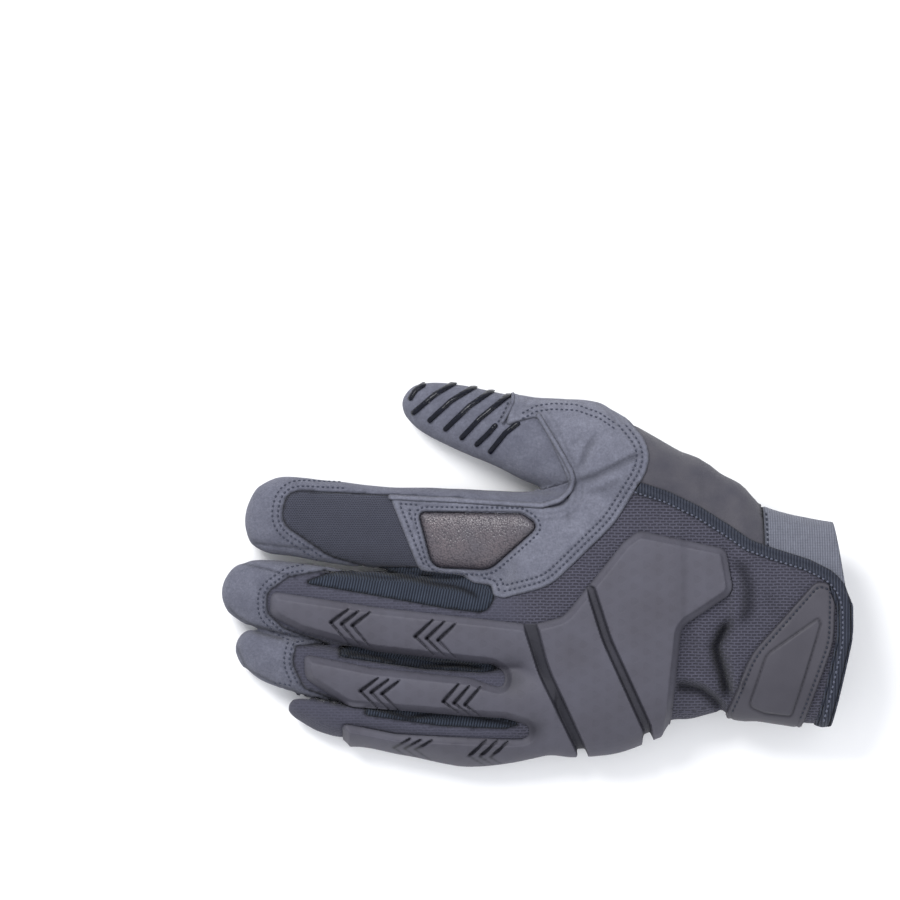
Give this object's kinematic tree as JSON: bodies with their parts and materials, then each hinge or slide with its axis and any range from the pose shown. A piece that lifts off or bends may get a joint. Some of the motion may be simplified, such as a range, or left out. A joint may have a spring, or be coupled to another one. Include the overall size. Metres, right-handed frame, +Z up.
{
  "type": "tactical glove",
  "caption": "Left-hand full-finger work glove with a moulded knuckle guard, suede palm with pads and a wrist closure tab, lying palm down.",
  "frame": {"origin": "centre of the glove's footprint, on the surface that it lies on", "axes": "+X from the fingertips to the cuff, +Y towards the thumb side, +Z up from the palm to the back of the hand"},
  "size_m": [0.2448, 0.15, 0.0428],
  "materials": {
    "suede": "matte synthetic suede",
    "mesh": "matte stretch mesh",
    "knit": "matte air mesh",
    "rib": "matte ribbed stretch",
    "rubber": "satin moulded thermoplastic rubber",
    "insert": "satin pebbled rubber",
    "neoprene": "matte smooth knit on foam",
    "elastic": "matte ribbed elastic",
    "binding": "matte ribbed tape",
    "silicone": "gloss silicone print",
    "grip": "matte coated grip leather",
    "loop": "matte woven loop pile"
  },
  "bodies": {
    "root": {"palm_panel": "suede", "back_panel": "mesh", "middle_back": "mesh", "ring_back": "mesh", "pinky_back": "mesh", "index_tip": "suede", "middle_tip": "suede", "ring_tip": "suede", "index_front": "suede", "middle_front": "suede", "ring_front": "suede", "pinky_front": "suede", "wrist_back": "mesh", "wrist_front": "suede", "thumb_heel": "suede", "index_back": "knit", "fourchette_index_middle": "rib", "fourchette_middle_ring": "rib", "fourchette_ring_pinky": "rib", "thumb_back": "mesh", "thumb_pad_panel": "suede", "thumb_saddle": "suede", "knuckle_insert": "insert", "knuckle_guard": "rubber", "wrist_gusset": "neoprene", "wrist_elastic": "elastic", "cuff_binding": "binding", "closure_tab": "rubber", "loop_patch": "loop", "palm_grip_patch": "grip", "thumb_base_pad": "suede", "heel_pad": "suede", "thumb_stripe_1": "silicone", "thumb_stripe_2": "silicone", "thumb_stripe_3": "silicone", "thumb_stripe_4": "silicone", "thumb_stripe_5": "silicone", "thumb_stripe_6": "silicone", "index_stripe_1": "silicone", "index_stripe_2": "silicone", "index_stripe_3": "silicone", "index_stripe_4": "silicone", "index_stripe_5": "silicone", "index_stripe_6": "silicone"}
  },
  "joints": []
}
